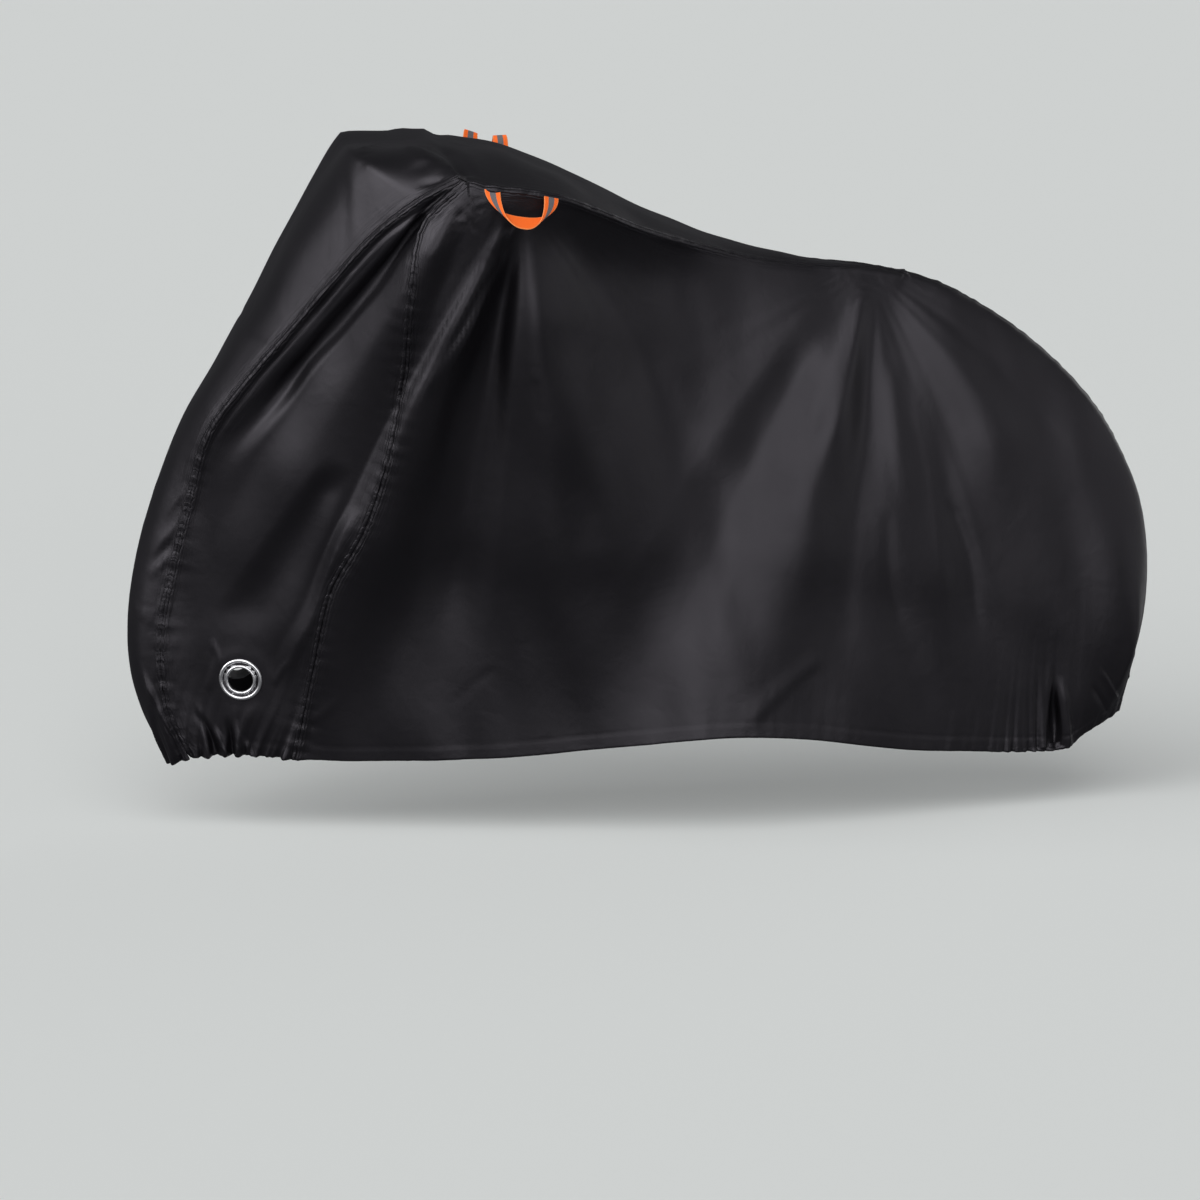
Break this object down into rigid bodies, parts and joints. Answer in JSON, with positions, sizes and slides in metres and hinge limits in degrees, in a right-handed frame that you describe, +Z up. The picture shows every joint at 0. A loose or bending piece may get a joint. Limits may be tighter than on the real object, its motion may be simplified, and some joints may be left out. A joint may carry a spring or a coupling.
{
  "type": "bicycle cover",
  "caption": "Fitted cover of black coated cloth, shaped as it hangs over a bicycle, with carrying loops at the bar and lock eyelets by the front wheel.",
  "frame": {"origin": "middle of the cloth's inner face where the top of the cover rests on the handlebar", "axes": "+X towards the rear wheel, +Y to the bicycle's right-hand side, +Z up"},
  "size_m": [1.7605, 0.6889, 1.0738],
  "materials": {
    "cover_cloth": "black coated plain weave, satin",
    "handle_webbing": "orange webbing with a grey stripe",
    "eyelet_steel": "polished"
  },
  "bodies": {
    "root": {"centre_panel": "cover_cloth", "gusset_left": "cover_cloth", "gusset_right": "cover_cloth", "side_left": "cover_cloth", "side_right": "cover_cloth", "handle_left": "handle_webbing", "handle_right": "handle_webbing", "eyelet_left": "eyelet_steel", "eyelet_right": "eyelet_steel"}
  },
  "joints": []
}
